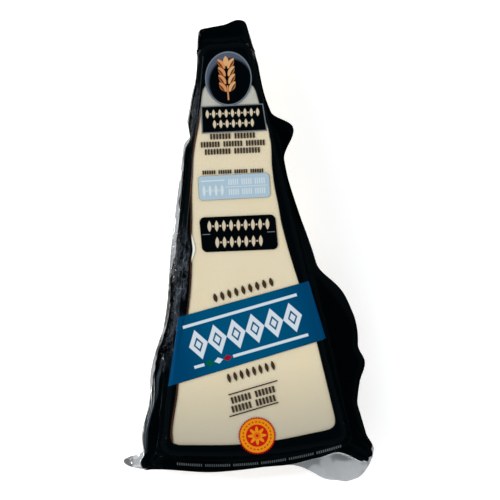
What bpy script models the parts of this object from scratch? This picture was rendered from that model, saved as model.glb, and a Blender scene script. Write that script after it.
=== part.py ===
"""A wedge of hard grating cheese in its vacuum pack, lying on its back with the printed face up.

The cheese is a slice of a wheel's sector. A printed front web, with a clear window, is drawn over it
from above, and a clear back web from below. The two webs meet in a wavy flange around the wedge.
Lengths are in millimetres until a mesh is made. The narrow nose points along +Y.
"""
import math

import bmesh
import bpy

MM = 0.001

# Cheese: a sector of a wheel, with its nose cut off square
WHEEL_RADIUS = 222.0
WHEEL_CENTRE_Y = 138.0
HALF_ANGLE = math.radians(9.72)
CUT_OFFSET = 0.3
CHEESE_SHIFT = -0.8
NOSE_Y = 85.0
CHEESE_THICKNESS = 34.0
CHEESE_EDGE = 1.2
CHEESE_CORNER = 4.0

# Webs: thickness, clearance to what they cover, and the height at which they are sealed together
WEB = 0.5
GAP = 0.3
SEAL_HEIGHT = 14.0
FILLET = 3.0
CHEESE_BASE = WEB + GAP
CHEESE_TOP = CHEESE_BASE + CHEESE_THICKNESS

# Corners of the clear window in the front web
WINDOW_LOWER_RIGHT = (34.8, -75.9)
WINDOW_UPPER_RIGHT = (9.7, 69.5)
WINDOW_UPPER_LEFT = (-10.3, 70.5)
WINDOW_LOWER_LEFT = (-35.2, -77.9)
WINDOW_CORNER = 5.0

# Corners of the flange, seen from the front
LOWER_RIGHT = (47.8, -88.2)
UPPER_RIGHT = (8.4, 95.4)
UPPER_LEFT = (-11.2, 93.2)
LOWER_LEFT = (-48.0, -88.0)
FLANGE_CORNER = 1.8

# Waves of each side: distance of the crest from the side's start, height, reach before and after it
RIGHT_WAVES = (
    (56.0, 9.0, 36.0, 27.0),
    (71.0, 2.2, 13.0, 12.0),
    (27.0, 1.1, 6.0, 6.0),
    (36.5, 3.7, 11.0, 9.0),
    (2.0, 1.4, 9.0, 7.0),
    (139.5, 6.6, 11.5, 9.0),
    (116.0, -1.5, 32.0, 24.0),
    (156.0, -1.2, 14.0, 18.0),
)
TOP_WAVES = ((3.5, 1.0, 4.0, 6.0),)
LEFT_WAVES = (
    (14.0, -0.9, 14.0, 34.0),
    (44.0, -2.2, 6.0, 5.0),
    (20.0, -0.6, 14.0, 9.0),
    (118.0, -1.5, 30.0, 26.0),
    (144.0, 1.7, 22.0, 18.0),
    (170.0, 2.1, 20.0, 11.0),
)
BASE_WAVES = (
    (34.0, 3.2, 34.0, 50.0),
    (62.0, 0.9, 14.0, 12.0),
    (81.0, -1.4, 8.0, 6.0),
    (92.0, 3.2, 7.0, 7.0),
)

# Where the clear back web shows past the printed one, with the same four numbers for each stretch
TAIL = (182.3, 8.4, 5.5, 6.0)
FLAP = (82.7, 11.9, 23.0, 16.0)
BACK_TRIM = 0.4
FLAP_DROOP = 5.0

# Waves of the window's sides
WINDOW_RIGHT_WAVES = ((87.0, -2.2, 52.0, 25.0),)
WINDOW_LEFT_WAVES = (
    (30.0, 0.9, 24.0, 24.0),
    (88.0, -2.3, 38.0, 36.0),
)
WINDOW_BASE_WAVES = ((35.0, 3.0, 44.0, 44.0),)

# Points along each side and round each corner of every outline
SIDE_STEPS = (44, 6, 46, 26)
STRAIGHT_STEPS = (1, 1, 1, 14)
CORNER_STEPS = 5
ROUND_STEPS = 2

PRINTED_BLACK = (0.006, 0.008, 0.009, 1.0)
CHEESE_CREAM = (0.72, 0.62, 0.43, 1.0)
CLEAR_FILM = (0.80, 0.82, 0.83, 1.0)


def crest(distance, wave):
    """Height of one smooth wave at a distance along its side."""
    centre, height, before, after = wave
    reach = before if distance < centre else after
    share = (distance - centre) / reach
    if abs(share) >= 1:
        return 0.0
    return height * 0.5 * (1 + math.cos(math.pi * share))


def wavy_side(start, end, waves):
    """A straight side that waves push outwards, to the right of its direction of travel."""
    length = math.dist(start, end)
    along = ((end[0] - start[0]) / length, (end[1] - start[1]) / length)

    def point(share):
        distance = share * length
        out = sum(crest(distance, wave) for wave in waves)
        x = start[0] + along[0] * distance + along[1] * out
        y = start[1] + along[1] * distance - along[0] * out
        return x, y

    return point


def rounded_loop(sides, corner, side_steps=SIDE_STEPS):
    """Points round a closed outline, counter-clockwise, with each corner softened."""
    points = []
    for index, side in enumerate(sides):
        following = sides[(index + 1) % len(sides)]
        length = math.dist(side(0.0), side(1.0))
        cut = corner / length
        steps = side_steps[index]
        points += [side(cut + (1 - 2 * cut) * step / steps) for step in range(steps + 1)]
        leave = points[-1]
        tip = side(1.0)
        arrive = following(corner / math.dist(following(0.0), following(1.0)))
        for step in range(1, CORNER_STEPS):
            share = step / CORNER_STEPS
            weights = ((1 - share) ** 2, 2 * share * (1 - share), share ** 2)
            x = weights[0] * leave[0] + weights[1] * tip[0] + weights[2] * arrive[0]
            y = weights[0] * leave[1] + weights[1] * tip[1] + weights[2] * arrive[1]
            points.append((x, y))
    return points


def wedge_loop(grow, side_steps=SIDE_STEPS):
    """Outline of the cheese, grown outwards by a distance."""
    radius = WHEEL_RADIUS + grow
    off_centre = CUT_OFFSET + grow
    corner_angle = HALF_ANGLE + math.asin(off_centre / radius)
    apex = WHEEL_CENTRE_Y + off_centre / math.sin(HALF_ANGLE)
    nose = NOSE_Y + grow
    nose_half = (apex - nose) * math.tan(HALF_ANGLE)

    def rind(share):
        angle = corner_angle * (2 * share - 1)
        return CHEESE_SHIFT + radius * math.sin(angle), WHEEL_CENTRE_Y - radius * math.cos(angle)

    nose_right = (CHEESE_SHIFT + nose_half, nose)
    nose_left = (CHEESE_SHIFT - nose_half, nose)
    sides = (
        wavy_side(rind(1.0), nose_right, ()),
        wavy_side(nose_right, nose_left, ()),
        wavy_side(nose_left, rind(0.0), ()),
        rind,
    )
    return rounded_loop(sides, CHEESE_CORNER + grow, side_steps)


def moved_in(corner, distance):
    """A corner of the window, moved along both axes towards the window's middle."""
    return corner[0] - math.copysign(distance, corner[0]), corner[1] - math.copysign(distance, corner[1])


def window_loop(shrink):
    """Outline of the clear window."""
    lower_right = moved_in(WINDOW_LOWER_RIGHT, shrink)
    upper_right = moved_in(WINDOW_UPPER_RIGHT, shrink)
    upper_left = moved_in(WINDOW_UPPER_LEFT, shrink)
    lower_left = moved_in(WINDOW_LOWER_LEFT, shrink)
    sides = (
        wavy_side(lower_right, upper_right, WINDOW_RIGHT_WAVES),
        wavy_side(upper_right, upper_left, ()),
        wavy_side(upper_left, lower_left, WINDOW_LEFT_WAVES),
        wavy_side(lower_left, lower_right, WINDOW_BASE_WAVES),
    )
    return rounded_loop(sides, WINDOW_CORNER - shrink)


def front_edge():
    """Edge of the printed front web."""
    sides = (
        wavy_side(LOWER_RIGHT, UPPER_RIGHT, RIGHT_WAVES),
        wavy_side(UPPER_RIGHT, UPPER_LEFT, TOP_WAVES),
        wavy_side(UPPER_LEFT, LOWER_LEFT, LEFT_WAVES),
        wavy_side(LOWER_LEFT, LOWER_RIGHT, BASE_WAVES),
    )
    return rounded_loop(sides, FLANGE_CORNER)


def back_edge():
    """Edge of the clear back web: just inside the printed one, but for its tail and flap."""
    trim = (0.0, -BACK_TRIM, 1e4, 1e4)
    sides = (
        wavy_side(LOWER_RIGHT, UPPER_RIGHT, RIGHT_WAVES + (trim,)),
        wavy_side(UPPER_RIGHT, UPPER_LEFT, TOP_WAVES + (trim,)),
        wavy_side(UPPER_LEFT, LOWER_LEFT, LEFT_WAVES + (TAIL, trim)),
        wavy_side(LOWER_LEFT, LOWER_RIGHT, BASE_WAVES + (FLAP, trim)),
    )
    return rounded_loop(sides, FLANGE_CORNER)


def blend(first, second, share):
    """Outline that lies part of the way from one outline to another."""
    return [
        (a[0] + (b[0] - a[0]) * share, a[1] + (b[1] - a[1]) * share)
        for a, b in zip(first, second)
    ]


def seal_lift(index, share):
    """Height of the seal above its level: the flange's free edge rises and falls."""
    total = sum(SIDE_STEPS) + 4 * CORNER_STEPS
    turn = 2 * math.pi * index / total
    wave = 1.5 * math.sin(5 * turn + 0.6) + 0.9 * math.sin(11 * turn + 2.0)
    return wave * share * share


def level(loop, height):
    """An outline at one height."""
    return [(x, y, height) for x, y in loop]


def on_seal(loop, share, offset, droop=None):
    """An outline on the flange, a share of the way to the free edge."""
    points = []
    for index, (x, y) in enumerate(loop):
        fall = droop[index] if droop else 0.0
        points.append((x, y, SEAL_HEIGHT + offset + seal_lift(index, share) - fall))
    return points


def front_rings(skin):
    """Rings of one face of the front web, from the window out to the free edge."""
    edge = front_edge()
    grow = GAP + skin
    rings = [level(window_loop(0.0), CHEESE_TOP + grow)]
    for step in range(ROUND_STEPS + 1):
        angle = math.pi / 2 * step / ROUND_STEPS
        radius = CHEESE_EDGE + grow
        inset = grow - radius * (1 - math.sin(angle))
        rings.append(level(wedge_loop(inset), CHEESE_TOP + grow - radius * (1 - math.cos(angle))))
    root = wedge_loop(grow)
    rings.append(level(blend(root, edge, 0.06), SEAL_HEIGHT + FILLET + skin))
    rings.append(level(blend(root, edge, 0.16), SEAL_HEIGHT + 0.25 * FILLET + skin))
    for share in (0.40, 0.70, 1.00):
        rings.append(on_seal(blend(wedge_loop(0.0), edge, share), share, skin))
    return rings


def back_rings(skin):
    """Rings of one face of the back web, from its flat base out to the free edge."""
    edge = back_edge()
    grow = GAP + skin
    low = WEB - skin
    rings = []
    for step in range(ROUND_STEPS + 1):
        angle = math.pi / 2 * step / ROUND_STEPS
        radius = CHEESE_EDGE + grow
        inset = grow - radius * (1 - math.sin(angle))
        rings.append(level(wedge_loop(inset), low + radius * (1 - math.cos(angle))))
    root = wedge_loop(grow)
    drop = GAP + skin
    rings.append(level(blend(root, edge, 0.06), SEAL_HEIGHT - FILLET - drop))
    rings.append(level(blend(root, edge, 0.16), SEAL_HEIGHT - 0.25 * FILLET - drop))
    front = front_edge()
    for share in (0.40, 0.70, 0.97):
        inner = blend(wedge_loop(0.0), front, share)
        rings.append(on_seal(inner, share, -drop))
    beyond = [math.dist(a, b) for a, b in zip(edge, front)]
    droop = [FLAP_DROOP * (far / FLAP[1]) ** 2 if far > 1 else 0.0 for far in beyond]
    rings.append(on_seal(edge, 1.0, -drop, droop))
    return rings


def loft(name, rings, material, closed):
    """A body skinned over rings: joined end to end where closed, else capped at both ends."""
    mesh = bpy.data.meshes.new(name)
    shell = bmesh.new()
    rows = [[shell.verts.new([value * MM for value in point]) for point in ring] for ring in rings]
    pairs = list(zip(rows, rows[1:]))
    if closed:
        pairs.append((rows[-1], rows[0]))
    for lower, upper in pairs:
        count = len(lower)
        for index in range(count):
            after = (index + 1) % count
            shell.faces.new((lower[index], lower[after], upper[after], upper[index]))
    if not closed:
        shell.faces.new(list(reversed(rows[0])))
        shell.faces.new(rows[-1])
    bmesh.ops.recalc_face_normals(shell, faces=shell.faces)
    shell.to_mesh(mesh)
    shell.free()
    mesh.materials.append(material)
    mesh.shade_smooth()
    mesh.set_sharp_from_angle(angle=math.radians(40))
    return bpy.data.objects.new(name, mesh)


def finish(name, colour, roughness, transmission=0.0):
    """A plain surface finish."""
    material = bpy.data.materials.new(name)
    material.use_nodes = True
    shader = material.node_tree.nodes["Principled BSDF"]
    shader.inputs["Base Color"].default_value = colour
    shader.inputs["Roughness"].default_value = roughness
    shader.inputs["Metallic"].default_value = 0.0
    shader.inputs["Transmission Weight"].default_value = transmission
    return material


def cheese():
    """The wedge itself, with its cut edges slightly rounded."""
    rings = []
    for side in (-1, 1):
        for step in range(ROUND_STEPS + 1):
            angle = math.pi / 2 * step / ROUND_STEPS
            turn = angle if side < 0 else math.pi / 2 - angle
            inset = -CHEESE_EDGE * (1 - math.sin(turn))
            depth = CHEESE_EDGE * (1 - math.cos(turn))
            height = CHEESE_BASE + depth if side < 0 else CHEESE_TOP - depth
            rings.append(level(wedge_loop(inset, STRAIGHT_STEPS), height))
    return loft("cheese_wedge", rings, finish("cheese", CHEESE_CREAM, 0.45), closed=False)


def front_web():
    """The printed front web, open at its window."""
    rings = front_rings(WEB) + list(reversed(front_rings(0.0)))
    return loft("front_web", rings, finish("printed_film", PRINTED_BLACK, 0.22), closed=True)


def window_web():
    """The clear stretch of the front web."""
    height = CHEESE_TOP + GAP
    rings = [level(window_loop(GAP), height), level(window_loop(GAP), height + WEB)]
    return loft("window_web", rings, finish("window_film", CLEAR_FILM, 0.08, 0.9), closed=False)


def back_web():
    """The clear back web, formed round the back of the wedge."""
    rings = back_rings(WEB) + list(reversed(back_rings(0.0)))
    return loft("back_web", rings, finish("clear_film", CLEAR_FILM, 0.12, 0.8), closed=False)


def build():
    """Clear the scene, then make the pack with its box centred on the origin."""
    for thing in list(bpy.data.objects):
        bpy.data.objects.remove(thing)
    pack = bpy.data.collections.new("vacuum_packed_cheese_wedge")
    bpy.context.scene.collection.children.link(pack)
    outline = front_edge() + back_edge()
    middle_x = (min(x for x, y in outline) + max(x for x, y in outline)) / 2
    middle_y = (min(y for x, y in outline) + max(y for x, y in outline)) / 2
    for piece in (cheese(), front_web(), window_web(), back_web()):
        piece.location = (-middle_x * MM, -middle_y * MM, 0.0)
        pack.objects.link(piece)


build()
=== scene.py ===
"""Looks of a wedge of hard cheese, vacuum-packed between a printed front film and a clear back film."""
import math

import bpy
import numpy as np
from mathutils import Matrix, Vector, noise


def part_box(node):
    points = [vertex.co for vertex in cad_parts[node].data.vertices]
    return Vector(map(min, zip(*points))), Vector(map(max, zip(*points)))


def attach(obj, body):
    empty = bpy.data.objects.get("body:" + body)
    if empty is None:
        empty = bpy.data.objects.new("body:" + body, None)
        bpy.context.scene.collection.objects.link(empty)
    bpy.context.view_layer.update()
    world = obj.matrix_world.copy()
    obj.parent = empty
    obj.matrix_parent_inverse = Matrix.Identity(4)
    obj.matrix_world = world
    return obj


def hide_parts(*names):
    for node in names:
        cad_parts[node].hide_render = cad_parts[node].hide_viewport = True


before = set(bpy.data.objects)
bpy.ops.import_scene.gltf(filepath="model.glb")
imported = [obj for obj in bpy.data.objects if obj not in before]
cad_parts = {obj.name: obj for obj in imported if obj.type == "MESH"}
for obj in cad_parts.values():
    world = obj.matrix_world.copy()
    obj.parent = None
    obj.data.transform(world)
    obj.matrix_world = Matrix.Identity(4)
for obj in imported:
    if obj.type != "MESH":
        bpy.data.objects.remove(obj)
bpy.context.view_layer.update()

MM = 0.001

# The wedge and its webs, in millimetres, as the solids have them
WHEEL_RADIUS = 222.0
WHEEL_CENTRE_Y = 138.0
HALF_ANGLE = math.radians(9.72)
CUT_OFFSET = 0.3
CHEESE_SHIFT = -0.8
NOSE_Y = 85.0
CHEESE_CORNER = 4.0
WEB_GROW = 0.8
PACK_TOP = 35.6
SEAL_HEIGHT = 14.0
FILLET = 3.0

# Corners of the flange, and the waves of each side of it, counter-clockwise seen from the front.
# A wave is the distance of its crest from the side's start, its height, and its reach before and after.
LOWER_RIGHT = (47.8, -88.2)
UPPER_RIGHT = (8.4, 95.4)
UPPER_LEFT = (-11.2, 93.2)
LOWER_LEFT = (-48.0, -88.0)
FLANGE_CORNER = 1.8
RIGHT_WAVES = (
    (56.0, 9.0, 36.0, 27.0),
    (71.0, 2.2, 13.0, 12.0),
    (27.0, 1.1, 6.0, 6.0),
    (36.5, 3.7, 11.0, 9.0),
    (2.0, 1.4, 9.0, 7.0),
    (139.5, 6.6, 11.5, 9.0),
    (116.0, -1.5, 32.0, 24.0),
    (156.0, -1.2, 14.0, 18.0),
)
TOP_WAVES = ((3.5, 1.0, 4.0, 6.0),)
LEFT_WAVES = (
    (14.0, -0.9, 14.0, 34.0),
    (44.0, -2.2, 6.0, 5.0),
    (20.0, -0.6, 14.0, 9.0),
    (118.0, -1.5, 30.0, 26.0),
    (144.0, 1.7, 22.0, 18.0),
    (170.0, 2.1, 20.0, 11.0),
)
BASE_WAVES = (
    (34.0, 3.2, 34.0, 50.0),
    (62.0, 0.9, 14.0, 12.0),
    (81.0, -1.4, 8.0, 6.0),
    (92.0, 3.2, 7.0, 7.0),
)

# Where the clear back web shows past the printed one
TAIL = (182.3, 8.4, 5.5, 6.0)
FLAP = (82.7, 11.9, 23.0, 16.0)
FLAP_DROOP = 5.0

# Tears of the printed film at its two lower corners: a place, how far it is pushed out there, and the reach
TEARS = (
    (49.0, -86.5, -1.2, 1.4),
    (48.9, -89.6, 2.2, 1.1),
    (47.3, -90.6, -1.0, 0.9),
    (45.9, -91.6, 1.0, 0.9),
    (44.4, -91.9, -0.8, 0.8),
    (-47.6, -85.2, 1.5, 2.2),
)

# The left side, by height on the pack: where the film is crumpled and a grey sheen is painted on its ink,
# how wide the unprinted edge is, and how far in from that edge a fold runs
CRUMPLED_SIDE = (-40.0, 5.0)
CRUMPLED_NOSE = (49.0, 66.0)
SHEENED_NOSE = (48.0, 67.0)
MARGIN_HEIGHTS = (-84.0, -60.0, -45.0, -36.0, -22.0, -4.0, 2.0, 8.0, 22.0, 28.0, 84.0)
MARGIN_WIDTHS = (0.2, 0.7, 1.3, 2.1, 1.2, 0.8, 1.9, 2.3, 1.7, 0.9, 0.9)
FOLD_HEIGHTS = (-77.0, -71.0, -64.0, -58.0, -49.0, -39.0, 0.0, 8.0, 60.0)
FOLD_PLACES = (1.8, 1.7, 2.7, 3.6, 2.4, 1.6, 2.8, 1.9, 1.6)

# Corners of the window, and the waves of its sides
WINDOW_LOWER_RIGHT = (34.0, -75.9)
WINDOW_UPPER_RIGHT = (9.9, 69.5)
WINDOW_UPPER_LEFT = (-11.1, 70.5)
WINDOW_LOWER_LEFT = (-35.9, -77.9)
WINDOW_RIGHT_WAVES = (
    (87.0, -2.6, 54.0, 25.0),
    (126.0, 1.3, 16.0, 16.0),
    (106.0, -1.2, 14.0, 16.0),
)
WINDOW_LEFT_WAVES = (
    (30.0, 1.6, 24.0, 24.0),
    (88.0, -2.3, 38.0, 36.0),
    (46.5, 0.6, 12.0, 12.0),
    (69.0, -0.9, 6.5, 5.5),
    (128.0, -0.8, 30.0, 16.0),
)
WINDOW_BASE_WAVES = ((35.0, 3.0, 44.0, 44.0),)
WINDOW_ROUNDING = 7.5

# Points along each side and round each corner: the solids' own, and the finer ones used here
SOLID_STEPS = (44, 6, 46, 26)
SOLID_CORNER = 5
FINE_STEPS = (300, 46, 300, 160)
FINE_CORNER = 12

# The films: thickness, rounded edge, half the seal, slant of the wall and bend at its foot,
# then the height of their crumples, swell, fold and ripples, and how far the right edge droops
FILM = 0.2
FILM_EDGE = 2.6
HALF_SEAL = 0.3
WALL_DRAFT = 0.5
BEND_LIMIT = 3.2
WALL_CRUMPLES = 1.3
FLANGE_CRUMPLES = 1.6
FLANGE_SWELL = 0.35
FOLD_RISE = 0.8
EDGE_RIPPLE = 0.5
RIGHT_DROOP = 1.3

# The cheese's play inside the films, the radius of its edges, and the ends of its faces' middle line
CHEESE_GROW = 0.35
CHEESE_ROUND = 1.5
SPINE_LOW = -54.0
SPINE_HIGH = 75.0

# The camera looks straight down from this height over the printed face, on this width of it
CAMERA_HEIGHT = 3.0
PHOTO_WIDTH = 207.5
PHOTO_MIDDLE = (3.3, 0.0)
PHOTO_LEVEL = 25.0
PHOTO_TURN = math.radians(-4.2)

# The light tent: the sine of the elevation where its opening starts, and how bright it is below that
TENT_OPENING = 0.84
TENT_FADE = 0.14
TENT_LIGHT = 1.15
TENT_COLOUR = (0.97, 0.985, 1.0, 1.0)
FLOOR_GLOW = 0.43

# The pack's millimetres are turned into the frame's metres by the cheese's own box
cheese_low, cheese_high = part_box("cheese_wedge")
MIDDLE_X = CHEESE_SHIFT - (cheese_low.x + cheese_high.x) / 2 / MM
MIDDLE_Y = NOSE_Y - cheese_high.y / MM


def smooth(share):
    """An S-curve from 0 to 1, level at both ends."""
    share = np.clip(share, 0.0, 1.0)
    return share * share * (3 - 2 * share)


def between(values, low, high, fade):
    """1 between two limits and 0 outside them, with soft ends."""
    return smooth((values - low) / fade + 0.5) * smooth((high - values) / fade + 0.5)


def crest(distance, wave):
    """Height of one smooth wave at distances along its side."""
    centre, height, before, after = wave
    reach = np.where(distance < centre, before, after)
    share = np.clip((distance - centre) / reach, -1.0, 1.0)
    return height * 0.5 * (1 + np.cos(np.pi * share))


def wavy_side(start, end, waves):
    """A straight side that waves push outwards, to the right of its direction of travel."""
    start = np.array(start)
    length = math.dist(start, end)
    along = (np.array(end) - start) / length
    outward = np.array((along[1], -along[0]))

    def points(share):
        distance = np.atleast_1d(share) * length
        out = sum((crest(distance, wave) for wave in waves), np.zeros(len(distance)))
        return start + distance[:, None] * along + out[:, None] * outward

    return points


def rounded_loop(sides, corner):
    """Points round a closed outline, counter-clockwise, with each corner softened."""
    stretches = []
    for index, side in enumerate(sides):
        following = sides[(index + 1) % len(sides)]
        cut = corner / math.dist(side(0.0)[0], side(1.0)[0])
        next_cut = corner / math.dist(following(0.0)[0], following(1.0)[0])
        straight = side(np.linspace(cut, 1 - cut, FINE_STEPS[index] + 1))
        share = (np.arange(1, FINE_CORNER) / FINE_CORNER)[:, None]
        first = (1 - share) ** 2 * straight[-1]
        middle = 2 * share * (1 - share) * side(1.0)[0]
        last = share ** 2 * following(next_cut)[0]
        stretches += [straight, first + middle + last]
    return np.concatenate(stretches)


def wedge_loop(grow):
    """Outline of the cheese, grown outwards by a distance."""
    radius = WHEEL_RADIUS + grow
    off_centre = CUT_OFFSET + grow
    corner_angle = HALF_ANGLE + math.asin(off_centre / radius)
    apex = WHEEL_CENTRE_Y + off_centre / math.sin(HALF_ANGLE)
    nose = NOSE_Y + grow
    nose_half = (apex - nose) * math.tan(HALF_ANGLE)

    def rind(share):
        angle = corner_angle * (2 * np.atleast_1d(share) - 1)
        x = CHEESE_SHIFT + radius * np.sin(angle)
        return np.column_stack((x, WHEEL_CENTRE_Y - radius * np.cos(angle)))

    nose_right = (CHEESE_SHIFT + nose_half, nose)
    nose_left = (CHEESE_SHIFT - nose_half, nose)
    sides = (
        wavy_side(rind(1.0)[0], nose_right, ()),
        wavy_side(nose_right, nose_left, ()),
        wavy_side(nose_left, rind(0.0)[0], ()),
        rind,
    )
    return rounded_loop(sides, CHEESE_CORNER + grow)


def flange_loop(left_extra=(), base_extra=()):
    """Free edge of the flange, with the waves that only one web has."""
    sides = (
        wavy_side(LOWER_RIGHT, UPPER_RIGHT, RIGHT_WAVES),
        wavy_side(UPPER_RIGHT, UPPER_LEFT, TOP_WAVES),
        wavy_side(UPPER_LEFT, LOWER_LEFT, LEFT_WAVES + left_extra),
        wavy_side(LOWER_LEFT, LOWER_RIGHT, BASE_WAVES + base_extra),
    )
    return rounded_loop(sides, FLANGE_CORNER)


def turns():
    """Angle of each point in the solids' own count of points, for the seal's rise and fall."""
    places = []
    start = 0
    for solid, fine in zip(SOLID_STEPS, FINE_STEPS):
        places.append(np.linspace(start, start + solid, fine + 1))
        places.append(start + solid + np.arange(1, FINE_CORNER) / FINE_CORNER * SOLID_CORNER)
        start += solid + SOLID_CORNER
    return np.concatenate(places) / start * 2 * np.pi


def outward(loop):
    """Unit normals of a loop in its plane."""
    along = np.roll(loop, -1, axis=0) - np.roll(loop, 1, axis=0)
    along /= np.linalg.norm(along, axis=1)[:, None]
    return np.column_stack((along[:, 1], -along[:, 0]))


def rolling(xy, size, seed):
    """Soft noise from about -1 to 1 at points in a plane."""
    return np.array([noise.noise(Vector((x / size, y / size, seed * 7.3))) for x, y in xy])


def creased(xy, size, seed):
    """Sharp-crested noise from 0 to 1 at points in a plane."""
    return np.clip(1 - 2.4 * np.abs(rolling(xy, size, seed)), 0.0, 1.0)


def torn(loop):
    """How far the film's torn corners stand out or are notched."""
    pushes = np.zeros(len(loop))
    for x, y, push, reach in TEARS:
        pushes += push * np.exp(-(((loop - (x, y)) / reach) ** 2).sum(axis=1))
    return pushes


TURN = turns()
ROOT = wedge_loop(WEB_GROW + WALL_DRAFT)
ROOT_OUT = outward(ROOT)
ROOT_STEPS = np.linalg.norm(np.roll(ROOT, -1, axis=0) - ROOT, axis=1)
ROUND_LENGTH = ROOT_STEPS.sum()
ROUND = np.concatenate(((0.0,), np.cumsum(ROOT_STEPS)[:-1]))
FRONT_EDGE = flange_loop()
FRONT_EDGE += outward(FRONT_EDGE) * torn(FRONT_EDGE)[:, None]
BACK_EDGE = flange_loop((TAIL,), (FLAP,))
ROOM = np.linalg.norm(FRONT_EDGE - ROOT, axis=1)
BEND = np.minimum(0.45 * ROOM, BEND_LIMIT)
UP_PACK = ROOT[:, 1]
ON_LEFT = smooth((-ROOT_OUT[:, 0] - 0.7) / 0.25)
ON_RIGHT = smooth((ROOT_OUT[:, 0] - 0.7) / 0.25)


def crumpling():
    """How badly the flange is crumpled at each point round it."""
    left = between(UP_PACK, *CRUMPLED_SIDE, 8.0) + 0.55 * between(UP_PACK, *CRUMPLED_NOSE, 5.0)
    corner = between(UP_PACK, -200.0, -76.0, 10.0) * smooth((-ROOT[:, 0] - 28.0) / 8.0)
    return np.clip(left * ON_LEFT + 0.3 * corner, 0.0, 1.0)


CRUMPLED = crumpling()


def side_pleats(count, seed, widths, heights):
    """Random pleats that run down the wall: place round the wedge, half width, height and lean."""
    draw = np.random.default_rng(seed)
    return np.column_stack((
        draw.uniform(0, ROUND_LENGTH, count),
        draw.uniform(*widths, count),
        draw.uniform(*heights, count),
        draw.uniform(-0.4, 0.4, count),
    ))


def corner_pleats(seed):
    """Tighter pleats where a web is gathered round the wedge's four corners."""
    draw = np.random.default_rng(seed)
    pleats = []
    end = -FINE_CORNER // 2
    for steps in FINE_STEPS:
        end += steps + FINE_CORNER
        for offset in np.linspace(-9.0, 9.0, 8):
            place = ROUND[end] + offset + draw.uniform(-0.8, 0.8)
            pleats.append((place, draw.uniform(0.5, 1.1), draw.uniform(0.25, 0.8), -0.03 * offset))
    return np.array(pleats)


def pleated(pleats, run):
    """Height of the pleats round a web, a distance down from the rim."""
    total = np.zeros(len(ROUND))
    for place, width, height, lean in pleats:
        offset = (ROUND - place - lean * run + ROUND_LENGTH / 2) % ROUND_LENGTH - ROUND_LENGTH / 2
        total += height * np.exp(-((offset / width) ** 2))
    return total


def wall_relief(pleats, run):
    """Pleats and crumples of the wall, which grow with the distance down from the rim."""
    spots = np.column_stack((ROUND, np.full(len(ROUND), run)))
    crumples = WALL_CRUMPLES * CRUMPLED * creased(spots, 3.4, 6) * smooth(run / 11.0)
    return pleated(pleats, run) * smooth(run / 9.0) + crumples


def swell(xy):
    """Gentle unevenness of the wedge's cut face, which the film follows."""
    return 0.22 * rolling(xy, 38.0, 1) + 0.08 * rolling(xy, 13.0, 7)


def seal_lift(share):
    """Rise and fall of the seal as in the solids, largest at its free edge."""
    return (1.5 * np.sin(5 * TURN + 0.6) + 0.9 * np.sin(11 * TURN + 2.0)) * share * share


def seal_height(xy, distance):
    """Height of the seal at points that lie a distance out from the wedge's foot."""
    share = np.clip(distance / ROOM, 0.0, 1.0)
    to_edge = np.maximum(ROOM - distance, 0.0)
    height = SEAL_HEIGHT + seal_lift(share)
    height += EDGE_RIPPLE * np.sin(23 * TURN + 1.0) * share * share
    height += FLANGE_SWELL * rolling(xy, 9.0, 2) * smooth(2 * share)
    fold_place = np.interp(UP_PACK, FOLD_HEIGHTS, FOLD_PLACES)
    fold_width = np.interp(UP_PACK, (-45.0, 5.0), (1.1, 0.8))
    fold = np.exp(-(((to_edge - fold_place) / fold_width) ** 2))
    height += FOLD_RISE * fold * ON_LEFT * smooth(ROOM / 2.5 - 0.6)
    height -= RIGHT_DROOP * ON_RIGHT * smooth(ROOM / 8.0 - 0.6) * np.exp(-((to_edge / 2.2) ** 2))
    folds = 1.2 * rolling(xy, 5.5, 1) + 0.7 * creased(xy, 3.6, 1) + 0.2 * creased(xy, 1.8, 4) - 0.35
    return height + FLANGE_CRUMPLES * CRUMPLED * folds * smooth(3 * share)


def free_fall(xy, beyond):
    """How far the clear stretches past the printed edge droop, with their crumples."""
    share = np.clip(beyond / FLAP[1], 0.0, 1.0)
    tail = smooth((-xy[:, 0] - 46.0) / 4.0)
    folds = 0.9 * creased(xy, 11.0, 3) + 0.25 * creased(xy, 5.0, 5) - 0.5
    tight = 1.5 * creased(xy, 3.6, 8) + 0.5 * creased(xy, 1.7, 9) - 0.9
    return FLAP_DROOP * share * share - (folds + (tight - folds) * tail) * smooth(3 * share)


def along_flange(distance, edge):
    """Points a distance out from the wedge's foot: to the printed edge, then on to a film's own edge."""
    first = np.clip(distance / ROOM, 0.0, 1.0)[:, None]
    extra = np.maximum(np.linalg.norm(edge - FRONT_EDGE, axis=1), 0.01)
    second = np.clip((distance - ROOM) / extra, 0.0, 1.0)[:, None]
    return ROOT + (FRONT_EDGE - ROOT) * first + (edge - FRONT_EDGE) * second


def clear_margin(xy):
    """Width of the unprinted stretch along the free edge of the left side."""
    width = np.interp(UP_PACK, MARGIN_HEIGHTS, MARGIN_WIDTHS)
    return width * ON_LEFT * (1 + 0.9 * rolling(xy, 4.0, 11))


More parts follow.
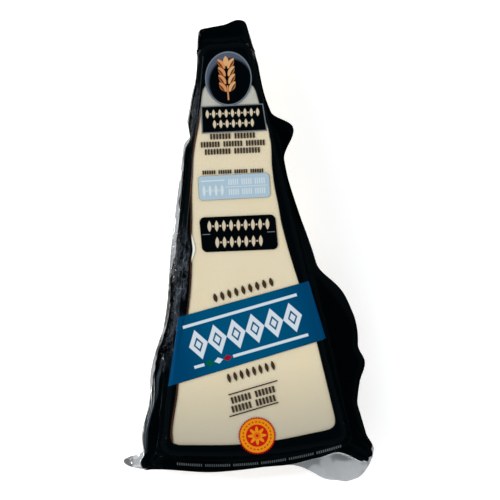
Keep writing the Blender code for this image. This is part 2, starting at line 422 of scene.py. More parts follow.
class Sheet:
    """Rows of points from the middle line of a face outwards, skinned into a surface."""

    def __init__(self):
        self.points = []
        self.rows = []
        self.ink = []
        self.count = 0
        self.run = 0.0

    def add(self, xy, z, lean=0.0, lift=0.0, ink=99.0):
        """A row, pushed off the wedge by lift along a normal that leans out from upright by an angle."""
        out = np.reshape(np.sin(lean) * lift, (-1, 1))
        row = np.column_stack((xy + ROOT_OUT * out, z + np.cos(lean) * lift))
        if self.points:
            self.run += float(np.median(np.linalg.norm(row - self.points[-1], axis=1)))
        self.points.append(row)
        self.ink.append(np.broadcast_to(ink, len(row)))
        self.rows.append(self.count + np.arange(len(row)))
        self.count += len(row)

    def add_face(self, rim, z, count, inward=False):
        """Rows between a face's middle line and its rim, at heights that a function of place gives."""
        y = np.round(np.clip(rim[:, 1], SPINE_LOW, SPINE_HIGH), 4)
        middle = np.column_stack((np.full(len(rim), CHEESE_SHIFT), y))
        shares = np.linspace(0.0, 1.0, count + 1)
        for share in shares[-2::-1] if inward else shares:
            xy = middle + (rim - middle) * share
            self.add(xy, z(xy))
            if share == 0.0:
                alone, first = np.unique(y, return_index=True)
                self.rows[-1] = self.rows[-1][first][np.searchsorted(alone, y)]

    def skin(self, name, face_down=False):
        """The surface as an object with smooth shading and its points in the frame's metres."""
        faces = []
        for inner, outer in zip(self.rows, self.rows[1:]):
            quads = zip(inner, outer, np.roll(outer, -1), np.roll(inner, -1))
            faces += [list(dict.fromkeys(quad)) for quad in quads]
        if face_down:
            faces = [face[::-1] for face in faces]
        used, renumbered = np.unique(np.concatenate(faces), return_inverse=True)
        ends = np.cumsum([len(face) for face in faces])[:-1]
        faces = [part.tolist() for part in np.split(renumbered, ends)]
        points = (np.concatenate(self.points)[used] - (MIDDLE_X, MIDDLE_Y, 0.0)) * MM
        mesh = bpy.data.meshes.new(name)
        mesh.from_pydata(points.tolist(), [], faces)
        ink = mesh.attributes.new("ink", "FLOAT", "POINT")
        ink.data.foreach_set("value", np.concatenate(self.ink)[used])
        mesh.shade_smooth()
        piece = bpy.data.objects.new(name, mesh)
        bpy.context.scene.collection.objects.link(piece)
        return piece


def web(name, upward, pleats, edge):
    """A film formed over the wedge from one side: flat face, rounded edge, wall, fillet and flange."""
    sheet = Sheet()
    sign = 1 if upward else -1
    face = PACK_TOP if upward else 0.0
    rim = wedge_loop(WEB_GROW - FILM_EDGE)
    sheet.add_face(rim, lambda xy: face + swell(xy) * upward, 9)
    sheet.run = 0.0
    relief = swell(rim) * upward
    for angle in np.linspace(0.0, np.pi / 2, 9)[1:]:
        loop = wedge_loop(WEB_GROW - FILM_EDGE * (1 - np.sin(angle)))
        z = face - sign * FILM_EDGE * (1 - np.cos(angle)) + relief * np.cos(angle)
        lean = angle if upward else np.pi - angle
        sheet.add(loop, z, lean, wall_relief(pleats, sheet.run))
    top = face - sign * FILM_EDGE
    foot = SEAL_HEIGHT + sign * (FILLET + HALF_SEAL)
    for share in np.linspace(0.0, 1.0, 10)[1:]:
        loop = wedge_loop(WEB_GROW + WALL_DRAFT * share ** 2)
        level = np.full(len(loop), top + (foot - top) * share)
        sheet.add(loop, level, np.pi / 2, wall_relief(pleats, sheet.run))
    for share in np.linspace(0.0, 1.0, 6)[1:]:
        distance = BEND * share
        xy = along_flange(distance, edge)
        rise = FILLET * (1 - share) ** 2.2 + HALF_SEAL
        lean = np.pi / 2 * (1 - share if upward else 1 + share)
        lift = pleated(pleats, sheet.run) * (1 - 0.6 * share)
        sheet.add(xy, seal_height(xy, distance) + sign * rise, lean, lift)
    length = ROOM + np.linalg.norm(edge - FRONT_EDGE, axis=1)
    for share in np.linspace(0.0, 1.0, 18)[1:]:
        distance = BEND + (length - BEND) * share
        xy = along_flange(distance, edge)
        z = seal_height(xy, distance) + sign * HALF_SEAL - free_fall(xy, distance - ROOM)
        lift = 0.4 * pleated(pleats, sheet.run) * (1 - share)
        ink = ROOM - distance - clear_margin(xy)
        sheet.add(xy, z, 0.0 if upward else np.pi, lift, ink)
    piece = sheet.skin(name, face_down=not upward)
    shell = piece.modifiers.new("film", "SOLIDIFY")
    shell.thickness = FILM * MM
    shell.offset = -1.0
    return piece


def crags(z):
    """Depth of the shallow hollows where the wedge was split from its wheel, none on the rind."""
    spots = np.column_stack((ROUND, np.broadcast_to(z, len(ROUND))))
    cut = 1 - smooth((-ROOT_OUT[:, 1] - 0.6) / 0.3)
    return cut * (0.35 * creased(spots, 7.0, 12) + 0.2 * creased(spots, 2.6, 13)) + 0.05


def cheese_wedge():
    """The wedge itself: uneven cut faces, softened edges and the curved rind."""
    sheet = Sheet()
    low = WEB_GROW - CHEESE_GROW
    high = PACK_TOP - low
    rim = wedge_loop(CHEESE_GROW - CHEESE_ROUND)
    sheet.add_face(rim, lambda xy: high + swell(xy), 12)
    relief = swell(rim)
    for angle in np.linspace(0.0, np.pi / 2, 7)[1:]:
        loop = wedge_loop(CHEESE_GROW - CHEESE_ROUND * (1 - np.sin(angle)))
        z = high - CHEESE_ROUND * (1 - np.cos(angle)) + relief * np.cos(angle)
        sheet.add(loop, z, np.pi / 2, -crags(z) * np.sin(angle))
    wall = wedge_loop(CHEESE_GROW)
    for z in np.linspace(high - CHEESE_ROUND, low + CHEESE_ROUND, 24)[1:]:
        sheet.add(wall, np.full(len(wall), z), np.pi / 2, -crags(z))
    for angle in np.linspace(np.pi / 2, 0.0, 7)[1:]:
        loop = wedge_loop(CHEESE_GROW - CHEESE_ROUND * (1 - np.sin(angle)))
        z = np.full(len(loop), low + CHEESE_ROUND * (1 - np.cos(angle)))
        sheet.add(loop, z, np.pi / 2, -crags(z) * np.sin(angle))
    sheet.add_face(rim, lambda xy: np.full(len(xy), low), 8, inward=True)
    return sheet.skin("cheese")


class Value:
    """A number, colour or vector that varies over a surface. Arithmetic on it adds Math nodes."""

    def __init__(self, finish, socket):
        self.finish = finish
        self.socket = socket

    def also(self, output):
        """Another output of the node that made this value."""
        return Value(self.finish, self.socket.node.outputs[output])

    def math(self, operation, *others, clamp=False):
        """One Math node on this value and others."""
        settings = {"operation": operation, "use_clamp": clamp}
        return self.finish.node("ShaderNodeMath", settings, dict(enumerate((self, *others))))

    def __add__(self, other):
        return self.math("ADD", other)

    __radd__ = __add__

    def __sub__(self, other):
        return self.math("SUBTRACT", other)

    def __rsub__(self, other):
        return self.math("MULTIPLY_ADD", -1.0, other)

    def __mul__(self, other):
        return self.math("MULTIPLY", other)

    __rmul__ = __mul__

    def __truediv__(self, other):
        return self.math("DIVIDE", other)

    def __abs__(self):
        return self.math("ABSOLUTE")

    def larger(self, other):
        return self.math("MAXIMUM", other)

    def smaller(self, other):
        return self.math("MINIMUM", other)

    def below(self, limit, soft):
        """1 where this value is under a limit and 0 where it is over, with a soft change."""
        if isinstance(limit, Value):
            return ((limit - self) / soft).math("ADD", 0.5, clamp=True)
        return self.math("MULTIPLY_ADD", -1.0 / soft, limit / soft + 0.5, clamp=True)

    def above(self, limit, soft):
        """1 where this value is over a limit and 0 where it is under, with a soft change."""
        return self.math("MULTIPLY_ADD", 1.0 / soft, 0.5 - limit / soft, clamp=True)

    def within(self, low, high, soft):
        """1 where this value is between two limits."""
        return self.above(low, soft) * self.below(high, soft)


class Finish:
    """The nodes of a material or of the room, and the few ways in which they are made."""

    def __init__(self, owner):
        self.owner = owner
        owner.use_nodes = True
        self.tree = owner.node_tree
        self.tree.nodes.clear()

    def node(self, kind, settings=None, sockets=None, output=0):
        """Any node: its settings, its sockets' values or links, and the output that is wanted."""
        made = self.tree.nodes.new(kind)
        for key, value in (settings or {}).items():
            setattr(made, key, value)
        for key, value in (sockets or {}).items():
            if isinstance(value, Value):
                self.tree.links.new(value.socket, made.inputs[key])
            else:
                made.inputs[key].default_value = value
        return Value(self, made.outputs[output]) if output is not None else None

    def place(self):
        """Position on the pack in its own millimetres: the vector, then x, y and z."""
        spot = self.node("ShaderNodeTexCoord", output="Object")
        sockets = {0: spot, 1: (1 / MM,) * 3, 2: (MIDDLE_X, MIDDLE_Y, 0.0)}
        where = self.node("ShaderNodeVectorMath", {"operation": "MULTIPLY_ADD"}, sockets)
        x = self.node("ShaderNodeSeparateXYZ", None, {0: where})
        return where, x, x.also("Y"), x.also("Z")

    def noise(self, where, size, detail=2.0, rough=0.5):
        """Noise from 0 to 1 with features of a size in millimetres."""
        sockets = {"Vector": where, "Scale": 1 / size, "Detail": detail, "Roughness": rough}
        return self.node("ShaderNodeTexNoise", None, sockets, "Fac")

    def stretched(self, where, sizes):
        """Position with each axis divided by its own size."""
        shrink = tuple(1 / size for size in sizes)
        return self.node("ShaderNodeVectorMath", {"operation": "MULTIPLY"}, {0: where, 1: shrink})

    def mix(self, share, first, second):
        """A colour between two colours."""
        return self.node("ShaderNodeMix", {"data_type": "RGBA"}, {0: share, 6: first, 7: second}, 2)

    def relief(self, height, depth, below=None):
        """A normal from small relief: height from 0 to 1 over a depth in millimetres."""
        sockets = {"Height": height, "Strength": 1.0, "Distance": depth * MM}
        if below:
            sockets["Normal"] = below
        return self.node("ShaderNodeBump", None, sockets)

    def surface(self, **sockets):
        """A Principled shader, with underscores for the spaces in its sockets' names."""
        named = {key.replace("_", " "): value for key, value in sockets.items()}
        return self.node("ShaderNodeBsdfPrincipled", None, named, "BSDF")

    def show(self, shader, kind="ShaderNodeOutputMaterial"):
        """Make a shader the surface, and return the material or the room."""
        self.node(kind, None, {"Surface": shader}, None)
        return self.owner


def tone(red, green, blue):
    """A screen colour, from 0 to 255, as linear light."""
    shares = [channel / 255 for channel in (red, green, blue)]
    light = [c / 12.92 if c <= 0.04045 else ((c + 0.055) / 1.055) ** 2.4 for c in shares]
    return (*light, 1.0)


# Colours of the cheese and the print, with the painted sheens, glints and shade among them
CHEESE_CREAM = tone(243, 227, 189)
CHEESE_PALE = tone(245, 233, 205)
# Darker tone for the cheese's grain and its end; the end's darkening is partly painted shade
CHEESE_GRAIN_AND_END_SHADE = tone(188, 180, 158)
CHEESE_RIND = tone(196, 154, 94)
CHEESE_UNDER_RIND = tone(180, 162, 128)
# White specks of the cheese, also used for painted glints on it
CHEESE_SPECK_AND_GLINT = tone(240, 236, 222)
CHEESE_NOSE = tone(201, 200, 188)
BLACK = tone(2, 6, 8)
BROWN_FRINGE = tone(70, 40, 26)
WHITE_INK = tone(206, 216, 224)
CREAM_INK = tone(206, 191, 166)
DARK_INK = tone(62, 47, 34)
BLUE_INK = tone(0, 78, 115)
BLUE_SIDE = tone(0, 62, 102)
PALE_BLUE = tone(168, 191, 205)
PALE_BLUE_MARK = tone(204, 216, 221)
GREY_LINE = tone(120, 128, 134)
ROUNDEL_SHINE = tone(84, 94, 110)
ROUNDEL_RIM = tone(112, 122, 136)
AMBER = tone(220, 138, 20)
SEAL_ORANGE = tone(214, 104, 22)
SEAL_RED = tone(186, 24, 22)
LEAF_ORANGE = tone(205, 140, 92)
LEAF_PEACH = tone(214, 164, 112)
LEAF_SHADE = tone(104, 44, 16)
GREEN_INK = tone(6, 92, 50)
RED_INK = tone(146, 18, 34)
FINE_PRINT = tone(118, 124, 128)
# Greyed and crazed ink on the crumples: partly the ink's own greying, partly painted sheen and glints
GREYED_INK_AND_SHEEN = tone(48, 55, 64)
CRAZED_INK_AND_GLINTS = tone(128, 134, 142)
# Painted bluish sheen along the fold at the left edge
PAINTED_FOLD_SHEEN = tone(64, 78, 88)
FILM_GREY = tone(160, 164, 167)
FILM_PALE = tone(200, 203, 205)
# Painted white glint along the window's left edge
PAINTED_EDGE_GLINT = tone(238, 238, 228)

# How far the edge of an ink blurs
INK_SOFT = 0.22

# The ink is matt, and the film over it lends it gloss: a little everywhere, and more on the wall,
# and under the flange's top along the left edge and on the crumples
INK_IOR = 1.0
OVERPRINT_IOR = 2.5
GLOSS_ALL = 0.006
GLOSS_WALL = 0.07
GLOSS_LEFT_EDGE = 0.16
GLOSS_CRUMPLES = 0.22
FLANGE_TOP = 18.0
WALL_SPAN = (19.0, 30.0)

# The cheese's painted pale glints, and the radii at which its darker end (partly painted shade), the
# stretch under its rind and the rind start
CHEESE_GLINTS = ((25.9, -59.9), (19.9, -74.9), (-25.4, -71.0))
END_SHADE_RADIUS = 204.0
UNDER_RIND_RADIUS = 218.5
RIND_RADIUS = 220.6

# Places of the print on the pack, in millimetres
ROUNDEL = (-0.4, 71.4)
ROUNDEL_HALF = (9.65, 11.2)
PLAQUE = ((-13.0, 49.5), (14.0, 48.7), (13.1, 60.0), (-12.6, 60.7))
BLUE_LABEL = (-1.3, 26.6)
BLUE_LABEL_HALF = (14.7, 5.0)
NAMEPLATE = (-0.85, 7.2)
NAMEPLATE_HALF = (15.7, 7.2)
BAND = ((-34.6, -53.8), (32.1, -38.9), (26.6, -14.6), (-28.3, -25.6))
BAND_MIDDLE = (-1.0, -33.3)
BAND_TILT = 11.9
SEAL = (0.6, -76.8)
SEAL_RADIUS = 7.5

# Rows of small print, as stitches: centre, half length, half height, tilt, groups, and a group's size
STITCHED_ROWS = (
    ((-0.5, 47.6), 10.1, 1.1, -1.8, 2, 8),
    ((-0.6, 44.4), 14.0, 1.1, -1.9, 3, 8),
    ((-1.0, 41.4), 12.2, 1.1, -1.7, 2, 10),
    ((-1.4, 32.9), 13.2, 0.75, -2.0, 4, 7),
    ((0.1, -59.8), 10.3, 1.3, 11.2, 2, 7),
    ((0.1, -63.5), 10.3, 1.3, 11.2, 2, 7),
)

# Rows of larger print, as grains: centre, half height, tilt, count and pitch
GRAIN_ROWS = (
    ((-0.7, -16.3), 1.9, 11.6, 9, 3.0),
    ((0.0, -50.3), 2.0, 11.8, 8, 2.7),
)
RULED_LINES = ((0.3, -56.9), (0.1, -65.9))


class Artwork:
    """Inks laid one over another on the clear film: their colour, and how much of the film they cover."""

    def __init__(self, finish, x, y):
        self.finish = finish
        self.x = x
        self.y = y
        self.colour = BLACK
        self.cover = 0.0

    def lay(self, mask, colour):
        """Lay an ink over what is there."""
        self.colour = self.finish.mix(mask, self.colour, colour)
        self.cover = mask.larger(self.cover)

    def turned(self, centre, degrees=0.0):
        """Distances from a centre along a direction and across it."""
        cosine = math.cos(math.radians(degrees))
        sine = math.sin(math.radians(degrees))
        x = self.x - centre[0]
        y = self.y - centre[1]
        return x * cosine + y * sine, y * cosine - x * sine


def side_distance(x, y, start, end, waves=()):
    """Distance out past a side that waves push outwards, to the right of its direction of travel."""
    length = math.dist(start, end)
    along_x = (end[0] - start[0]) / length
    along_y = (end[1] - start[1]) / length
    out = x * along_y - y * along_x - (start[0] * along_y - start[1] * along_x)
    if waves:
        run = x * along_x + y * along_y - (start[0] * along_x + start[1] * along_y)
    for centre, height, before, after in waves:
        ahead = (run - centre) / after
        behind = (centre - run) / before
        share = ahead.larger(behind).smaller(1.0)
        out = out - ((share * math.pi).math("COSINE") + 1) * (height / 2)
    return out


def window_distance(x, y):
    """Distance out past the window's edge, less than 0 inside it, and the same for its left side alone."""
    right = side_distance(x, y, WINDOW_LOWER_RIGHT, WINDOW_UPPER_RIGHT, WINDOW_RIGHT_WAVES)
    top = side_distance(x, y, WINDOW_UPPER_RIGHT, WINDOW_UPPER_LEFT)
    left = side_distance(x, y, WINDOW_UPPER_LEFT, WINDOW_LOWER_LEFT, WINDOW_LEFT_WAVES)
    base = side_distance(x, y, WINDOW_LOWER_LEFT, WINDOW_LOWER_RIGHT, WINDOW_BASE_WAVES)
    sides = right.math("SMOOTH_MAX", left, WINDOW_ROUNDING)
    ends = top.math("SMOOTH_MAX", base, WINDOW_ROUNDING)
    return sides.math("SMOOTH_MAX", ends, WINDOW_ROUNDING), left


def polygon(x, y, corners, shrink=0.0):
    """A mask of a convex shape, given its corners counter-clockwise."""
    past = None
    for start, end in zip(corners, corners[1:] + corners[:1]):
        out = side_distance(x, y, start, end)
        past = out if past is None else past.larger(out)
    return past.below(-shrink, INK_SOFT)


def bar(along, across, half_length, half_height, corner=0.0):
    """A mask of a rectangle, with round corners where a radius is given."""
    far = abs(along) - (half_length - corner)
    high = abs(across) - (half_height - corner)
    if not corner:
        return far.larger(high).below(0.0, INK_SOFT)
    far = far.larger(0.0)
    high = high.larger(0.0)
    return (far * far + high * high).math("SQRT").below(corner, INK_SOFT)


def lozenge(along, across, half_length, half_height, line=0.0):
    """A mask of a lozenge that stands on a point, or of its outline where a line's width is given."""
    reach = abs(along) / half_length + abs(across) / half_height
    steep = math.hypot(1 / half_length, 1 / half_height)
    if not line:
        return reach.below(1.0, INK_SOFT * steep)
    return abs(reach - (1.0 - line / 2 * steep)).below(line / 2 * steep, INK_SOFT * steep)


def grain(along, across, half_length, half_width):
    """A mask of a pointed oval, as of a grain of wheat."""
    share = along / half_length
    return (abs(across) / half_width + share * share).below(1.0, INK_SOFT / half_width)


def repeated(along, pitch):
    """Distance from the middle of the nearest of a row of cells."""
    return ((along / pitch).math("FRACT") - 0.5) * pitch


def grain_row(along, across, count, half_height, pitch, beaded=True):
    """A row of upright grains, with a bead between each two if it is wanted."""
    step = repeated(along + (count % 2) * pitch / 2, pitch)
    grains = grain(across, step, half_height, pitch * 0.26)
    row = grains * abs(along).below(count * pitch / 2, INK_SOFT)
    if not beaded:
        return row
    aside = abs(step) - pitch / 2
    beads = (aside * aside + across * across).math("SQRT").below(pitch * 0.12, INK_SOFT)
    return row + beads * abs(along).below((count - 1) * pitch / 2, INK_SOFT)


def stitches(along, across, half_length, half_height, groups, size):
    """A row of upright stitches in groups, each of one stitch less than a size."""
    group = 2 * half_length / groups
    pitch = group / size
    ticks = bar(repeated(along + half_length + pitch / 2, pitch), across, pitch * 0.27, half_height)
    spread = abs(repeated(along + half_length, group)).below((group - pitch) / 2, 0.1)
    return ticks * spread * abs(along).below(half_length, 0.1)


def lay_crumples(art, where, crumpled):
    """Grey ink and pale crazed lines where the film is crumpled: partly the ink's own greying, partly a
    painted sheen and painted glints.
    """
    slow = art.finish.noise(art.finish.stretched(where, (4.0, 7.0, 6.0)), 1.0, 2.0)
    quick = art.finish.noise(art.finish.stretched(where, (3.0, 5.0, 4.0)), 1.0, 3.0, 0.6)
    art.lay(slow.above(0.54, 0.18) * crumpled * 0.8, GREYED_INK_AND_SHEEN)
    art.lay(abs(quick - 0.5).below(0.008, 0.08) * slow.above(0.48, 0.2) * crumpled * 0.5, CRAZED_INK_AND_GLINTS)


def lay_left_edge(art, where, z, left, from_edge, crumpled):
    """What the film does to the ink at the left: a painted bluish sheen along a fold, crumples with painted
    grey sheen and glints, and a painted white glint along the window's edge.
    """
    # Painted bluish sheen along the fold
    fold = abs(from_edge - (art.y * 0.11 + 10.0).smaller(3.0)).below(0.8, 0.9)
    art.lay(fold * art.y.within(-77.0, -45.0, 8.0) * left.above(2.0, 1.0) * 0.85, PAINTED_FOLD_SHEEN)
    # Painted grey sheen and glints on the crumples, besides the ink's own greying
    lay_crumples(art, where, crumpled * (1 - 0.7 * z.within(17.0, 31.0, 6.0)))
    # Painted white glint along the window's left edge
    bend = (art.y - 2.6) / 5.8
    art.lay((abs(left + 0.65) + bend * bend * 0.5).below(0.5, 0.25), PAINTED_EDGE_GLINT)


def lay_text_lines(art):
    """Rows of small dark marks on the window, where the pack has its small print."""
    for centre, half_length, half_height, degrees, groups, size in STITCHED_ROWS:
        along, across = art.turned(centre, degrees)
        art.lay(stitches(along, across, half_length, half_height, groups, size), DARK_INK)
    for centre, half_height, degrees, count, pitch in GRAIN_ROWS:
        along, across = art.turned(centre, degrees)
        art.lay(grain_row(along, across, count, half_height, pitch, False), DARK_INK)
    for centre in RULED_LINES:
        along, across = art.turned(centre, 12.2)
        art.lay(bar(along, across, 10.5, 0.2), DARK_INK)


def lay_roundel(art):
    """A black roundel with a thin rim, and an ear of wheat in place of its picture."""
    x, y = art.turned(ROUNDEL, -4.2)
    across = x / ROUNDEL_HALF[0]
    up = y / ROUNDEL_HALF[1]
    reach = (across * across + up * up).math("SQRT")
    soft = INK_SOFT / ROUNDEL_HALF[0]
    art.lay(reach.below(1.0, soft), BLACK)
    inner_x = (x - 1.0) / 9.2
    inner_y = (y + 1.6) / 9.9
    inner = (inner_x * inner_x + inner_y * inner_y).math("SQRT")
    art.lay(reach.below(0.99, soft) * inner.above(1.0, 0.12) * 0.85, ROUNDEL_SHINE)
    art.lay(abs(reach - 0.975).below(0.022, soft), ROUNDEL_RIM)
    for step in range(4):
        for side in (-1, 1):
            centre = (ROUNDEL[0] + side * 1.9 - 0.6, ROUNDEL[1] - 3.4 + 3.2 * step)
            along, aside = art.turned(centre, 90 - side * 34)
            art.lay(grain(along, aside, 2.5, 1.15), LEAF_ORANGE if side < 0 else LEAF_PEACH)
            art.lay(grain(along, aside + side * 0.55, 2.1, 0.4), LEAF_SHADE)
    along, aside = art.turned((ROUNDEL[0] - 0.6, ROUNDEL[1] + 7.2), 90)
    art.lay(grain(along, aside, 2.2, 1.1), LEAF_PEACH)
    along, aside = art.turned((ROUNDEL[0] - 0.6, ROUNDEL[1] - 5.9), 90)
    art.lay(bar(along, aside, 3.0, 0.28), LEAF_ORANGE)


def lay_plaques(art):
    """The two black plaques, with rows of plain marks."""
    art.lay(polygon(art.x, art.y, PLAQUE), GREY_LINE)
    art.lay(polygon(art.x, art.y, PLAQUE, 0.35), BLACK)
    for centre, count in (((0.2, 57.0), 9), ((0.3, 52.7), 7)):
        along, across = art.turned(centre, -1.6)
        art.lay(grain_row(along, across, count, 1.75, 2.6), CREAM_INK)
    along, across = art.turned(NAMEPLATE, -1.8)
    art.lay(bar(along + across * 0.05, across, *NAMEPLATE_HALF, 2.2), BLACK)
    for rise, count in ((3.4, 9), (-3.4, 7)):
        art.lay(grain_row(along, across - rise, count, 2.3, 3.0), CREAM_INK)
    for side in (-1, 1):
        art.lay(bar(along - side * 13.4, across - 0.1, 1.6, 0.12), GREY_LINE)


def lay_blue_label(art):
    """The pale blue label with plain pale bars."""
    along, across = art.turned(BLUE_LABEL, -1.2)
    art.lay(bar(along, across, *BLUE_LABEL_HALF, 1.5), PALE_BLUE)
    tall = grain_row(along + 8.8, across + 1.2, 4, 2.4, 2.5)
    thin = bar(along + 8.8, across - 2.9, 4.9, 0.25)
    art.lay(tall.larger(thin), PALE_BLUE_MARK)
    for rise in (2.0, -2.1):
        art.lay(stitches(along - 5.2, across - rise, 8.2, 1.2, 3, 6), PALE_BLUE_MARK)
    art.lay(bar(along - 5.0, across, 8.6, 0.14), PALE_BLUE_MARK)


def lay_band(art):
    """The slanted blue band with a chain of lozenges between two lines."""
    along, across = art.turned(BAND_MIDDLE, BAND_TILT)
    blue = art.finish.mix(abs(along).above(22.0, 14.0), BLUE_INK, BLUE_SIDE)
    art.lay(polygon(art.x, art.y, BAND), blue)
    for rise in (-8.6, 8.6):
        art.lay(bar(along, across - rise, 24.5, 0.6), WHITE_INK)
    step = repeated(along, 8.1)
    chain = lozenge(step, across, 4.05, 6.3, 1.7).larger(lozenge(step, across, 1.3, 1.9))
    art.lay(chain * abs(along).below(24.3, INK_SOFT), WHITE_INK)
    art.lay(bar(along + 14.0, across + 8.6, 6.2, 0.9), blue)
    for place, ink in ((-3.9, GREEN_INK), (0.0, WHITE_INK), (3.9, RED_INK)):
        art.lay(lozenge(along - place + 14.0, across + 8.6, 1.9, 1.3), ink)


def lay_seal(art):
    """The amber seal with a toothed red rim and a rosette."""
    x, y = art.turned(SEAL)
    reach = (x * x + y * y).math("SQRT")
    angle = y.math("ARCTAN2", x)
    teeth = (angle * 44).math("SINE") * 0.22
    art.lay((reach + teeth).below(SEAL_RADIUS, INK_SOFT), SEAL_RED)
    art.lay(reach.below(SEAL_RADIUS - 0.5, INK_SOFT), AMBER)
    beads = (angle * 24).math("COSINE") * 0.2
    art.lay(abs(reach - 5.75).below(beads + 0.12, INK_SOFT), SEAL_RED)
    art.lay(reach.below(4.6, INK_SOFT), SEAL_RED)
    petals = (angle * 8).math("COSINE") * 0.95
    art.lay((reach - petals).below(2.9, INK_SOFT), AMBER)
    art.lay(reach.below(1.5, INK_SOFT), SEAL_ORANGE)
    art.lay(reach.below(0.6, INK_SOFT), SEAL_RED)


def lay_fine_print(art):
    """A faint row of stitches along the base, on a slight curve."""
    aside = art.x + 5.0
    marks = stitches(art.x - 0.8, art.y + 88.9 - aside * aside * 0.0029, 35.0, 0.5, 6, 13)
    art.lay(marks * 0.75, FINE_PRINT)


def printed_film():
    """Clear film with glossy black ink round a window, and the print on it."""
    finish = Finish(bpy.data.materials.new("printed_film"))
    where, x, y, z = finish.place()
    art = Artwork(finish, x, y)
    past, left = window_distance(x, y)
    patches = finish.noise(finish.stretched(where, (6.0, 22.0, 6.0)), 1.0)
    fringe = (patches * 1.7).smaller(1.0) * left.above(-1.3, 0.5) * y.below(56.0, 8.0)
    art.lay(past.above(-0.7, 0.5) * fringe, BROWN_FRINGE)
    art.lay(past.above(0.0, 0.3), BLACK)
    from_edge = finish.node("ShaderNodeAttribute", {"attribute_name": "ink"}, None, "Fac")
    crumple_band = y.within(*CRUMPLED_SIDE, 16.0) + y.within(*SHEENED_NOSE, 8.0) * 0.7
    crumpled = left.above(0.8, 0.8) * crumple_band
    lay_left_edge(art, where, z, left, from_edge, crumpled)
    lay_text_lines(art)
    lay_blue_label(art)
    lay_plaques(art)
    lay_roundel(art)
    lay_band(art)
    lay_seal(art)
    lay_fine_print(art)
    ink = from_edge.above(0.0, 0.4)
    wrinkles = finish.noise(finish.stretched(where, (1.6, 4.5, 3.0)), 1.0, 3.0)
    crumples = finish.noise(finish.stretched(where, (1.8, 3.2, 3.0)), 1.0, 3.0, 0.6) * crumpled
    normal = finish.relief(wrinkles, 0.05, finish.relief(crumples, 1.0))
    rough = finish.noise(where, 5.0) * 0.08 + 0.1
    left_edge = from_edge.below(2.8, 1.2) * left.above(2.0, 1.0) * y.above(-80.0, 4.0)
    low_gloss = z.below(FLANGE_TOP, 2.0) * (GLOSS_LEFT_EDGE * left_edge + GLOSS_CRUMPLES * crumpled)
    gloss = low_gloss + z.within(*WALL_SPAN, 3.0) * GLOSS_WALL + GLOSS_ALL
    printed = finish.surface(
        Base_Color=art.colour,
        Roughness=rough,
        IOR=INK_IOR,
        Coat_Weight=gloss,
        Coat_Roughness=0.08,
        Coat_IOR=OVERPRINT_IOR,
        Normal=normal,
    )
    clear = clear_surface(finish, FILM_GREY, 0.05 + 0.5 * (1 - ink), normal)
    share = art.cover * ink
    return finish.show(finish.node("ShaderNodeMixShader", None, {0: share, 1: clear, 2: printed}))


def clear_surface(finish, colour, haze, normal):
    """A thin clear film: see-through but for its haze, with a gloss that its thinness would dim."""
    return finish.surface(Base_Color=colour, Roughness=0.12, IOR=2.1, Alpha=haze, Normal=normal)


def clear_film():
    """The clear back film, hazier where it is creased and where nothing lies behind it."""
    finish = Finish(bpy.data.materials.new("clear_film"))
    where, x, y, _ = finish.place()
    beyond = finish.node("ShaderNodeAttribute", {"attribute_name": "ink"}, None, "Fac")
    creases = finish.noise(finish.stretched(where, (2.4, 5.0, 4.0)), 1.0, 3.0)
    normal = finish.relief(creases, 0.05)
    free = beyond.below(0.0, 1.0)
    low = y.below(-80.0, 6.0)
    haze = 0.05 + 0.08 * creases + free * (0.4 + 0.2 * creases + 0.3 * low)
    crushed = finish.noise(where, 2.6, 3.0).above(0.42, 0.12)
    tip = x.below(-51.8, 1.2) * low
    colour = finish.mix(x.below(-46.0, 1.0) * low, FILM_GREY, FILM_PALE)
    colour = finish.mix(tip * crushed, colour, BLACK)
    return finish.show(clear_surface(finish, colour, haze, normal))


def cheese_finish():
    """Pale straw cheese with a fine grain, white specks, painted pale glints, a darker end that is partly
    painted shade, and the rind.
    """
    finish = Finish(bpy.data.materials.new("cheese"))
    where, x, y, z = finish.place()
    off_x = x - CHEESE_SHIFT
    off_y = y - WHEEL_CENTRE_Y
    radius = (off_x * off_x + off_y * off_y).math("SQRT") + (finish.noise(where, 6.0) - 0.5) * 1.5
    clouds = finish.noise(where, 16.0, 3.0)
    colour = finish.mix(clouds.above(0.5, 0.5) * 0.5, CHEESE_CREAM, CHEESE_PALE)
    fine = finish.noise(where, 0.9, 3.0, 0.65)
    colour = finish.mix(fine.above(0.6, 0.25) * 0.18, colour, CHEESE_GRAIN_AND_END_SHADE)
    spots = {"Vector": where, "Scale": 1 / 3.2, "Randomness": 1.0}
    cells = finish.node("ShaderNodeTexVoronoi", None, spots, "Distance")
    chosen = finish.node("ShaderNodeSeparateColor", None, {0: cells.also("Color")})
    speck = cells.below(0.13, 0.08) * chosen.above(0.72, 0.02)
    colour = finish.mix(speck * 0.55, colour, CHEESE_SPECK_AND_GLINT)
    # Painted pale glints on the cheese
    for place in CHEESE_GLINTS:
        glint = grain(x - place[0], y - place[1], 1.5, 0.35)
        colour = finish.mix(glint * 0.6, colour, CHEESE_SPECK_AND_GLINT)
    colour = finish.mix(y.above(58.0, 8.0) * z.above(30.0, 5.0), colour, CHEESE_NOSE)
    # Darker towards the end: partly the cheese's own tone, partly painted shade
    colour = finish.mix(radius.above(END_SHADE_RADIUS, 34.0), colour, CHEESE_GRAIN_AND_END_SHADE)
    colour = finish.mix(radius.above(UNDER_RIND_RADIUS, 4.0), colour, CHEESE_UNDER_RIND)
    colour = finish.mix(radius.above(RIND_RADIUS, 1.2), colour, CHEESE_RIND)
    lumps = finish.noise(where, 2.2, 4.0, 0.6)
    normal = finish.relief(fine, 0.035, finish.relief(lumps, 0.08))
    skin = finish.surface(
        Base_Color=colour,
        Roughness=0.42 - 0.1 * lumps,
        Coat_Weight=0.25,
        Coat_Roughness=0.15,
        Normal=normal,
    )
    return finish.show(skin)


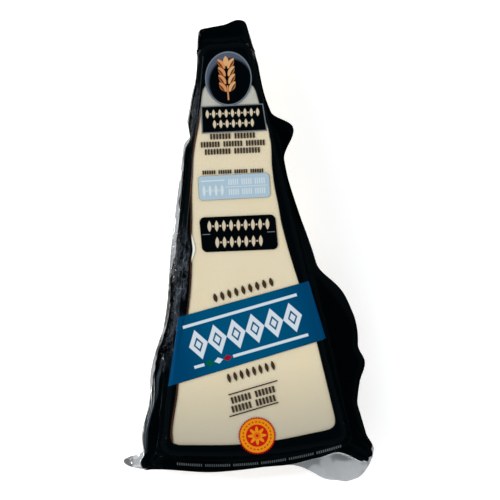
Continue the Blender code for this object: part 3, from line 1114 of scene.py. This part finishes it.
def floor():
    """The studio floor, a large flat pale disc that isn't part of the object."""
    bpy.ops.mesh.primitive_circle_add(vertices=96, radius=9.0, fill_type="NGON")
    disc = bpy.context.object
    disc.name = "floor"
    finish = Finish(bpy.data.materials.new("floor"))
    white = (1.0, 1.0, 1.0, 1.0)
    sockets = {"Emission_Color": white, "Emission_Strength": FLOOR_GLOW}
    pale = finish.surface(Base_Color=(0.93, 0.93, 0.93, 1.0), Roughness=0.9, **sockets)
    disc.data.materials.append(finish.show(pale))


def camera():
    """The camera straight above the printed face, turned a little as in the photo."""
    lens = bpy.data.cameras.new("camera")
    lens.lens = lens.sensor_width * CAMERA_HEIGHT / (PHOTO_WIDTH * MM)
    eye = bpy.data.objects.new("camera", lens)
    middle = ((PHOTO_MIDDLE[0] - MIDDLE_X) * MM, (PHOTO_MIDDLE[1] - MIDDLE_Y) * MM)
    eye.location = (*middle, CAMERA_HEIGHT + PHOTO_LEVEL * MM)
    eye.rotation_euler = (0.0, 0.0, PHOTO_TURN)
    bpy.context.scene.collection.objects.link(eye)
    bpy.context.scene.camera = eye


def lamp(name, azimuth, elevation, distance, size, watts):
    """A large soft lamp that faces the pack, and that the camera doesn't see."""
    light = bpy.data.lights.new(name, "AREA")
    light.shape = "RECTANGLE"
    light.size, light.size_y = size
    light.energy = watts
    source = bpy.data.objects.new(name, light)
    turn = math.radians(azimuth)
    rise = math.radians(elevation)
    level = math.cos(rise)
    towards = Vector((math.cos(turn) * level, math.sin(turn) * level, math.sin(rise)))
    source.location = towards * distance
    source.rotation_euler = towards.to_track_quat("Z", "Y").to_euler()
    source.visible_camera = False
    bpy.context.scene.collection.objects.link(source)


def studio():
    """A light tent that is dark overhead, so that black film stays black, and a soft lamp at the left."""
    lamp("left_lamp", azimuth=168.0, elevation=40.0, distance=1.7, size=(0.25, 0.18), watts=8.5)
    finish = Finish(bpy.data.worlds.new("room"))
    towards = finish.node("ShaderNodeTexCoord")
    height = finish.node("ShaderNodeSeparateXYZ", None, {0: towards}, "Z")
    bright = height.below(TENT_OPENING, TENT_FADE) * TENT_LIGHT
    tent = finish.node("ShaderNodeBackground", None, {"Color": TENT_COLOUR, "Strength": bright})
    bpy.context.scene.world = finish.show(tent, "ShaderNodeOutputWorld")
    bpy.context.scene.view_settings.view_transform = "Standard"


def dress(piece, material, slot, *nodes):
    """Give a piece its finish, and its place in the model."""
    piece.data.materials.append(material)
    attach(piece, "root")
    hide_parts(*nodes)


def pack():
    """The cheese and its two films."""
    front_pleats = np.concatenate((side_pleats(46, 3, (0.8, 2.6), (0.1, 0.45)), corner_pleats(5)))
    back_pleats = np.concatenate((side_pleats(60, 8, (0.7, 2.4), (0.1, 0.5)), corner_pleats(9)))
    dress(cheese_wedge(), cheese_finish(), "cheese", "cheese_wedge")
    front = web("front_film", True, front_pleats, FRONT_EDGE)
    dress(front, printed_film(), "printed_film", "front_web", "window_web")
    back = web("back_film", False, back_pleats, BACK_EDGE)
    dress(back, clear_film(), "clear_film", "back_web")


camera()
floor()
studio()
pack()
